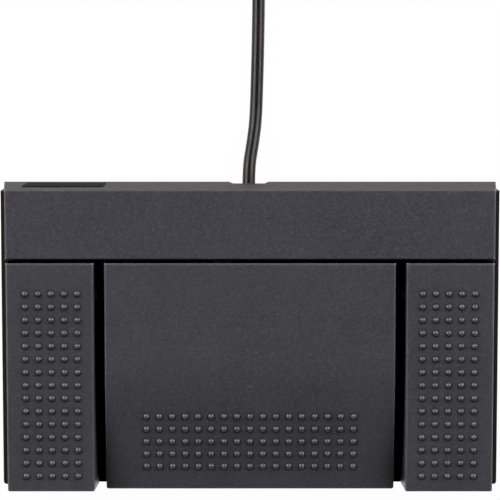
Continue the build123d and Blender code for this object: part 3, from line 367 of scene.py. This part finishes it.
def moulded(name, colour, roughness, specular, grain=0.35, wear_and_highlight=0.0, cloud=0.08, wall=None, painted_shade=None):
    """Moulded plastic with a fine grain, faint clouding and specks, and an uneven sheen.

    Its outer edges are worn smooth and lifted pale as a painted highlight, wall is the colour of its rear
    face, and the painted shade colour darkens the foot of each bump and the tops next to the gaps.
    """
    material, tree, shader = new_material(name)
    clouding = spread(tree, noise(tree, plastic_cloud_scale, detail=4.0), 0.0, 1.0)
    tone = blended(tree, clouding, shade(colour, 1 - cloud), shade(colour, 1 + cloud))
    patches = spread(tree, noise(tree, plastic_patch_scale, detail=3.0), 0.0, plastic_patch_share)
    tone = blended(tree, patches, tone, shade(colour, 1 + plastic_patch_lift * cloud))
    speck = spread(tree, noise(tree, plastic_speck_scale, detail=2.0), 0.0, 1.0,
                   plastic_speck_low, plastic_speck_high)
    tone = blended(tree, speck, tone, shade(colour, plastic_speck_lift))
    sheen = spread(tree, noise(tree, plastic_sheen_scale, detail=5.0),
                   roughness - plastic_sheen_below, roughness + plastic_sheen_above)
    if wall:
        rear = facing(tree, "Y", wall_start, wall_end)
        tone = blended(tree, rear, tone, wall)
        sheen = combine(tree, "ADD", sheen, combine(tree, "MULTIPLY", rear, wall_dullness))
    if wear_and_highlight:
        tone, sheen = rubbed_and_highlit(tree, tone, sheen, colour, wear_and_highlight)
    if painted_shade:
        tone = with_painted_shade(tree, tone, painted_shade)
    tree.links.new(tone, shader.inputs["Base Color"])
    tree.links.new(sheen, shader.inputs["Roughness"])
    shader.inputs["Specular IOR Level"].default_value = specular
    coarse = noise(tree, plastic_grain_scale, detail=3.0)
    fine = cells(tree, plastic_cell_scale, "SMOOTH_F1")
    height = combine(tree, "ADD", coarse, combine(tree, "MULTIPLY", fine, plastic_cell_share))
    raised(tree, shader, height, grain, plastic_grain_depth)
    return material


# Rubber and the cable's jacket
rubber_cloud_scale = 130.0
rubber_darkest = 0.85
rubber_lightest = 1.15
rubber_sheen_scale = 420.0
rubber_sheen_below = 0.06
rubber_sheen_above = 0.08
rubber_bump_scale = 900.0
rubber_bump_strength = 0.25


def rubbery(name, colour, roughness, specular, depth=0.00003):
    """Smooth flexible plastic or rubber, faintly uneven."""
    material, tree, shader = new_material(name)
    clouding = spread(tree, noise(tree, rubber_cloud_scale, detail=3.0), 0.0, 1.0)
    tone = blended(tree, clouding, shade(colour, rubber_darkest), shade(colour, rubber_lightest))
    tree.links.new(tone, shader.inputs["Base Color"])
    sheen = spread(tree, noise(tree, rubber_sheen_scale, detail=4.0),
                   roughness - rubber_sheen_below, roughness + rubber_sheen_above)
    tree.links.new(sheen, shader.inputs["Roughness"])
    shader.inputs["Specular IOR Level"].default_value = specular
    raised(tree, shader, noise(tree, rubber_bump_scale, detail=3.0), rubber_bump_strength, depth)
    return material


# Bright metal
metal_streak_scale = 700.0
metal_darkest = 0.82
metal_lightest = 1.08
metal_spot_scale = 160.0
metal_spot_low = 0.60
metal_spot_high = 0.80
metal_spot_share = 0.35
metal_spot_tone = 0.45
metal_sheen_below = 0.07
metal_sheen_above = 0.09
metal_bump_strength = 0.2
metal_bump_depth = 0.00003


def metallic(name, colour, roughness, stretch):
    """Metal with fine streaks from how it was drawn, rolled or turned, and faint spots."""
    material, tree, shader = new_material(name)
    streaks = noise(tree, metal_streak_scale, detail=4.0, stretch=stretch)
    tone = blended(tree, spread(tree, streaks, 0.0, 1.0), shade(colour, metal_darkest),
                   shade(colour, metal_lightest))
    spots = spread(tree, noise(tree, metal_spot_scale, detail=5.0), 0.0, metal_spot_share,
                   metal_spot_low, metal_spot_high)
    tone = blended(tree, spots, tone, shade(colour, metal_spot_tone))
    tree.links.new(tone, shader.inputs["Base Color"])
    sheen = spread(tree, streaks, roughness - metal_sheen_below, roughness + metal_sheen_above)
    tree.links.new(sheen, shader.inputs["Roughness"])
    shader.inputs["Metallic"].default_value = 1.0
    raised(tree, shader, streaks, metal_bump_strength, metal_bump_depth)
    return material


# Circuit board
track_scale = 130.0
track_offset = 0.35
track_width = 0.03
track_length = 0.9
track_spacing = 0.22
pad_scale = 170.0
pad_edge_inner = 0.10
pad_edge_outer = 0.13
board_sheen_scale = 300.0
board_sheen_low = 0.66
board_sheen_high = 0.80
board_specular = 0.10
board_bump_strength = 0.3
board_bump_depth = 0.00005


def laminate(name, mask, track, pad):
    """A circuit board: copper tracks under a dull mask, with tinned spots."""
    material, tree, shader = new_material(name)
    tracks = tree.nodes.new("ShaderNodeTexBrick")
    tracks.offset = track_offset
    tracks.inputs["Color1"].default_value = black
    tracks.inputs["Color2"].default_value = black
    tracks.inputs["Mortar"].default_value = white
    tracks.inputs["Scale"].default_value = track_scale
    tracks.inputs["Mortar Size"].default_value = track_width
    tracks.inputs["Brick Width"].default_value = track_length
    tracks.inputs["Row Height"].default_value = track_spacing
    tree.links.new(object_place(tree), tracks.inputs["Vector"])
    tone = blended(tree, tracks.outputs["Color"], mask, track)
    pads = spread(tree, cells(tree, pad_scale, "F1"), 1.0, 0.0, pad_edge_inner, pad_edge_outer)
    tone = blended(tree, pads, tone, pad)
    tree.links.new(tone, shader.inputs["Base Color"])
    sheen = spread(tree, noise(tree, board_sheen_scale, detail=3.0), board_sheen_low, board_sheen_high)
    tree.links.new(sheen, shader.inputs["Roughness"])
    shader.inputs["Specular IOR Level"].default_value = board_specular
    raised(tree, shader, tracks.outputs["Fac"], board_bump_strength, board_bump_depth)
    return material


# Steel darkened nearly black as painted shade for the gaps between the pedals
dark_steel_cloud_scale = 60.0
dark_steel_darkest = 0.7
dark_steel_lightest = 1.3
dark_steel_rub_scale = 240.0
dark_steel_rub_low = 0.60
dark_steel_rub_high = 0.72
dark_steel_rub_share = 0.5
dark_steel_sheen_scale = 300.0
dark_steel_sheen_low = 0.72
dark_steel_sheen_high = 0.92
dark_steel_specular = 0.08
dark_steel_bump_scale = 800.0
dark_steel_bump_strength = 0.25
dark_steel_bump_depth = 0.00004


def painted_shade_steel(name, colour, rub):
    """Steel darkened to a dull black as painted shade for the gaps, worn brown in places."""
    material, tree, shader = new_material(name)
    clouding = spread(tree, noise(tree, dark_steel_cloud_scale, detail=5.0), 0.0, 1.0)
    tone = blended(tree, clouding, shade(colour, dark_steel_darkest), shade(colour, dark_steel_lightest))
    brown = spread(tree, noise(tree, dark_steel_rub_scale, detail=5.0), 0.0, dark_steel_rub_share,
                   dark_steel_rub_low, dark_steel_rub_high)
    tone = blended(tree, brown, tone, rub)
    tree.links.new(tone, shader.inputs["Base Color"])
    sheen = spread(tree, noise(tree, dark_steel_sheen_scale, detail=4.0), dark_steel_sheen_low, dark_steel_sheen_high)
    tree.links.new(sheen, shader.inputs["Roughness"])
    shader.inputs["Specular IOR Level"].default_value = dark_steel_specular
    raised(tree, shader, noise(tree, dark_steel_bump_scale, detail=3.0), dark_steel_bump_strength, dark_steel_bump_depth)
    return material


# Label film
film_cloud_scale = 60.0
film_darkest = 0.9
film_lightest = 1.15
film_hair_scale = 260.0
film_hair_stretch = (1.0, 14.0, 14.0)
film_sheen_low = 0.62
film_sheen_high = 0.82
film_specular = 0.03
film_peel_scale = 500.0
film_peel_strength = 0.12
film_peel_depth = 0.00002


def film(name, colour):
    """A bare dull film with a faint orange peel and hairline scratches."""
    material, tree, shader = new_material(name)
    clouding = spread(tree, noise(tree, film_cloud_scale, detail=3.0), 0.0, 1.0)
    tone = blended(tree, clouding, shade(colour, film_darkest), shade(colour, film_lightest))
    tree.links.new(tone, shader.inputs["Base Color"])
    hairs = noise(tree, film_hair_scale, detail=2.0, stretch=film_hair_stretch)
    tree.links.new(spread(tree, hairs, film_sheen_low, film_sheen_high), shader.inputs["Roughness"])
    shader.inputs["Specular IOR Level"].default_value = film_specular
    raised(tree, shader, noise(tree, film_peel_scale, detail=2.0), film_peel_strength, film_peel_depth)
    return material


# The finish of every slot: its kind, and its values
finishes = {
    # Worn edges are lifted pale as a painted highlight, most of all on the pedals and the cover
    "pedal_plastic": (moulded, dict(colour=srgb(61, 60, 65), roughness=0.32, specular=0.62, grain=0.09,
                                    # The darkest colour here is painted shade for the foot of each bump and
                                    # the tops next to the gaps
                                    wear_and_highlight=0.9, cloud=0.09, painted_shade=srgb(9, 9, 10))),
    "cover_plastic": (moulded, dict(colour=srgb(60, 58, 65), roughness=0.40, specular=0.30, grain=0.26,
                                    wear_and_highlight=0.9, cloud=0.11, wall=srgb(50, 43, 39))),
    "base_plastic": (moulded, dict(colour=srgb(31, 25, 21), roughness=0.50, specular=0.20, wear_and_highlight=0.3)),
    "inner_plastic": (moulded, dict(colour=srgb(44, 44, 45), roughness=0.50, specular=0.30)),
    "label_black": (film, dict(colour=srgb(17, 16, 17))),
    "foot_rubber": (rubbery, dict(colour=srgb(30, 30, 31), roughness=0.78, specular=0.25)),
    "pad_rubber": (rubbery, dict(colour=srgb(38, 38, 38), roughness=0.80, specular=0.25)),
    "cable_jacket": (rubbery, dict(colour=srgb(28, 22, 18), roughness=0.24, specular=0.27, depth=0.00002)),
    # Painted shade: the ballast shows through the gaps between the pedals and is darkened nearly black for
    # it
    "ballast_steel": (painted_shade_steel, dict(colour=srgb(14, 14, 15), rub=srgb(38, 31, 26))),
    "shaft_steel": (metallic, dict(colour=srgb(196, 197, 200), roughness=0.24, stretch=(10.0, 1.0, 1.0))),
    "spring_steel": (metallic, dict(colour=srgb(176, 177, 182), roughness=0.28, stretch=no_stretch)),
    "screw_steel": (metallic, dict(colour=srgb(190, 190, 196), roughness=0.30, stretch=(1.0, 1.0, 8.0))),
    "bush_plastic": (moulded, dict(colour=srgb(222, 217, 204), roughness=0.42, specular=0.45, grain=0.15)),
    # Painted shade: the board's mask and tracks are near black for the gaps between the pedals
    "board_laminate": (laminate, dict(mask=srgb(10, 13, 12), track=srgb(20, 26, 24), pad=srgb(60, 57, 50))),
    "chip_plastic": (moulded, dict(colour=srgb(26, 26, 28), roughness=0.55, specular=0.40, grain=0.25)),
    "switch_plastic": (moulded, dict(colour=srgb(42, 42, 43), roughness=0.45, specular=0.40, grain=0.2)),
    "plunger_plastic": (moulded, dict(colour=srgb(158, 42, 34), roughness=0.36, specular=0.45, grain=0.15)),
    "socket_plastic": (moulded, dict(colour=srgb(226, 221, 206), roughness=0.40, specular=0.45, grain=0.15)),
    "tie_plastic": (moulded, dict(colour=srgb(30, 30, 31), roughness=0.42, specular=0.35, grain=0.2)),
    "plug_shell_steel": (metallic, dict(colour=srgb(206, 206, 210), roughness=0.22,
                                        stretch=(12.0, 1.0, 1.0))),
    "tongue_plastic": (moulded, dict(colour=srgb(228, 228, 224), roughness=0.38, specular=0.45, grain=0.1)),
    "contact_brass": (metallic, dict(colour=srgb(212, 178, 96), roughness=0.24, stretch=(10.0, 1.0, 1.0))),
}
materials = {slot: kind(slot, **values) for slot, (kind, values) in finishes.items()}

for part in frame["record"]["subparts"]:
    for place in nodes[part["node"]].material_slots:
        place.material = materials[part["material_slot"]]


def smooth_step(share):
    """A climb from 0 to 1 that starts and ends level."""
    share = min(1.0, max(0.0, share))
    return share * share * (3 - 2 * share)


def coil_point(turn):
    """A control point of the coil at an angle, just outside the line of its turns.

    A layer of turns goes inwards and the next one outwards. Each climbs to the next over half a turn,
    and the last one climbs to the plug over a quarter.
    """
    layer_turn = 2 * math.pi * turns_per_layer
    fold = (turn / layer_turn) % 2
    outward = 1 - fold if fold <= 1 else fold - 1
    radius = coil_inner + (coil_outer - coil_inner) * outward
    radius *= 4 / (3 + math.cos(2 * math.pi / points_per_turn))
    height = coil_low
    for layer in range(1, coil_layers):
        height += coil_pitch * smooth_step((turn - layer * layer_turn) / layer_climb + 0.5)
    last = coil_layers * layer_turn
    height += (plug_height - coil_high) * smooth_step((turn - last) / plug_climb + 1)
    return (coil_centre[0] + radius * math.cos(turn), coil_centre[1] + radius * math.sin(turn), height)


def cord_points():
    """The cable's control points, from the outlet to the plug."""
    count = round(coil_layers * turns_per_layer * points_per_turn)
    points = [cable_exit] + cable_route
    points += [coil_point(2 * math.pi * index / points_per_turn) for index in range(count + 1)]
    return points + coil_tail


def make_cord():
    """The cable as one smooth round cord."""
    points = cord_points()
    curve = bpy.data.curves.new("usb_cord", "CURVE")
    curve.dimensions = "3D"
    curve.resolution_u = cord_steps_along
    curve.bevel_depth = cable_diameter / 2
    curve.bevel_resolution = cord_steps_around
    curve.use_fill_caps = True
    spline = curve.splines.new("NURBS")
    spline.points.add(len(points) - 1)
    for point, place in zip(spline.points, points):
        point.co = (*place, 1.0)
    spline.order_u = 3
    spline.use_endpoint_u = True
    curve.materials.append(materials["cable_jacket"])
    cord = bpy.data.objects.new("usb_cord", curve)
    bpy.context.scene.collection.objects.link(cord)
    return cord


def link_mesh(name, mesh_build, material):
    """A new object from a mesh under construction."""
    mesh = bpy.data.meshes.new(name)
    mesh_build.to_mesh(mesh)
    mesh_build.free()
    for face in mesh.polygons:
        face.use_smooth = True
    mesh.materials.append(material)
    piece = bpy.data.objects.new(name, mesh)
    bpy.context.scene.collection.objects.link(piece)
    return piece


def plug_ridges():
    """Rounded finger ridges across both broad faces of the plug's grip.

    Each is a ball whose two halves are drawn apart across the grip.
    """
    build = bmesh.new()
    for index in range(ridge_count):
        for side in (-1, 1):
            middle = Vector((ridge_first_x - index * ridge_pitch, plug_y, plug_height + side * plug_face))
            turn = Matrix.Translation(middle) @ Matrix.Rotation(math.pi / 2, 4, "X")
            made = bmesh.ops.create_uvsphere(build, u_segments=ridge_segments, v_segments=ridge_rings,
                                             radius=ridge_radius, matrix=turn)
            for corner in made["verts"]:
                away = corner.co.y - plug_y
                if abs(away) > ridge_seam:
                    corner.co.y += math.copysign(ridge_reach_y, away)
    return link_mesh("usb_plug_ridges", build, materials["cable_jacket"])


def spring_stand_in(side):
    """A pedal's return spring, copied from the imported one onto the base."""
    rest = nodes[side + "_spring"]
    mesh = rest.data.copy()
    mesh.transform(rest.matrix_world)
    piece = bpy.data.objects.new(side + "_return_spring", mesh)
    bpy.context.scene.collection.objects.link(piece)
    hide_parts(side + "_spring")
    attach(piece, "base")
    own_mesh(piece)


cord = make_cord()
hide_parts("usb_cable", "cable_coil")
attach(cord, "base")
ridges = plug_ridges()
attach(ridges, "base")
for side in ("left", "centre", "right"):
    spring_stand_in(side)


def backdrop_factor(tree):
    """1 for what the camera sees straight on, in a reflection or through glass."""
    path = tree.nodes.new("ShaderNodeLightPath")
    seen = combine(tree, "ADD", path.outputs["Is Camera Ray"], path.outputs["Is Glossy Ray"])
    seen = combine(tree, "ADD", seen, path.outputs["Is Transmission Ray"])
    return combine(tree, "MINIMUM", seen, 1.0)


def floor_material():
    """Pale matte paint under other light, and nearly plain white where it is seen."""
    material = bpy.data.materials.new("floor")
    material.use_nodes = True
    tree = material.node_tree
    tree.nodes.clear()
    output = tree.nodes.new("ShaderNodeOutputMaterial")
    matte = tree.nodes.new("ShaderNodeBsdfDiffuse")
    matte.inputs["Color"].default_value = floor_colour
    glow = tree.nodes.new("ShaderNodeEmission")
    glow.inputs["Color"].default_value = white
    glow.inputs["Strength"].default_value = 1.0
    mixed = tree.nodes.new("ShaderNodeMixShader")
    tree.links.new(combine(tree, "MULTIPLY", backdrop_factor(tree), floor_glow), mixed.inputs["Fac"])
    for index, surface in zip(mix_surfaces, (matte.outputs["BSDF"], glow.outputs["Emission"])):
        tree.links.new(surface, mixed.inputs[index])
    tree.links.new(mixed.outputs["Shader"], output.inputs["Surface"])
    return material


def make_floor():
    """A plain pale floor that takes a trace of the object's shadow."""
    build = bmesh.new()
    outline = ((-floor_half, -floor_half), (floor_half, -floor_half),
               (floor_half, floor_half), (-floor_half, floor_half))
    build.faces.new([build.verts.new((x, y, 0.0)) for x, y in outline])
    floor = link_mesh("floor", build, floor_material())


def make_world():
    """A bright horizon behind the object, dimmer in front and overhead."""
    world = bpy.data.worlds.new("studio")
    bpy.context.scene.world = world
    world.use_nodes = True
    tree = world.node_tree
    tree.nodes.clear()
    output = tree.nodes.new("ShaderNodeOutputWorld")
    light = tree.nodes.new("ShaderNodeBackground")
    light.inputs["Color"].default_value = white
    direction = tree.nodes.new("ShaderNodeTexCoord")
    parts = tree.nodes.new("ShaderNodeSeparateXYZ")
    tree.links.new(direction.outputs["Generated"], parts.inputs["Vector"])
    upward = spread(tree, parts.outputs["Z"], horizon_level, overhead_level, horizon_z, overhead_z)
    rearward = spread(tree, parts.outputs["Y"], front_level, rear_level, front_y, rear_y)
    tree.links.new(combine(tree, "MULTIPLY", upward, rearward), light.inputs["Strength"])
    tree.links.new(light.outputs["Background"], output.inputs["Surface"])


def softbox(name, azimuth, power):
    """A large soft lamp that faces the object."""
    lamp = bpy.data.lights.new(name, "AREA")
    lamp.shape = "DISK"
    lamp.size = lamp_size
    lamp.energy = power
    holder = bpy.data.objects.new(name, lamp)
    around = math.radians(azimuth)
    above = math.radians(lamp_elevation)
    away = Vector((math.cos(around) * math.cos(above), math.sin(around) * math.cos(above), math.sin(above)))
    holder.location = away * lamp_distance
    holder.rotation_euler = away.to_track_quat("Z", "Y").to_euler()
    bpy.context.scene.collection.objects.link(holder)


def make_camera():
    """The photograph's view, straight down on the pedals."""
    lens = bpy.data.cameras.new("camera")
    lens.lens = camera_lens
    lens.sensor_width = camera_sensor
    lens.shift_y = camera_shift_y
    lens.clip_start = camera_clip
    camera = bpy.data.objects.new("camera", lens)
    camera.location = (0.0, camera_y, camera_height)
    bpy.context.scene.collection.objects.link(camera)
    bpy.context.scene.camera = camera


make_floor()
make_world()
softbox("left_rear_light", left_lamp_azimuth, left_lamp_power)
softbox("right_rear_light", right_lamp_azimuth, right_lamp_power)
make_camera()
bpy.context.scene.view_settings.view_transform = "Standard"
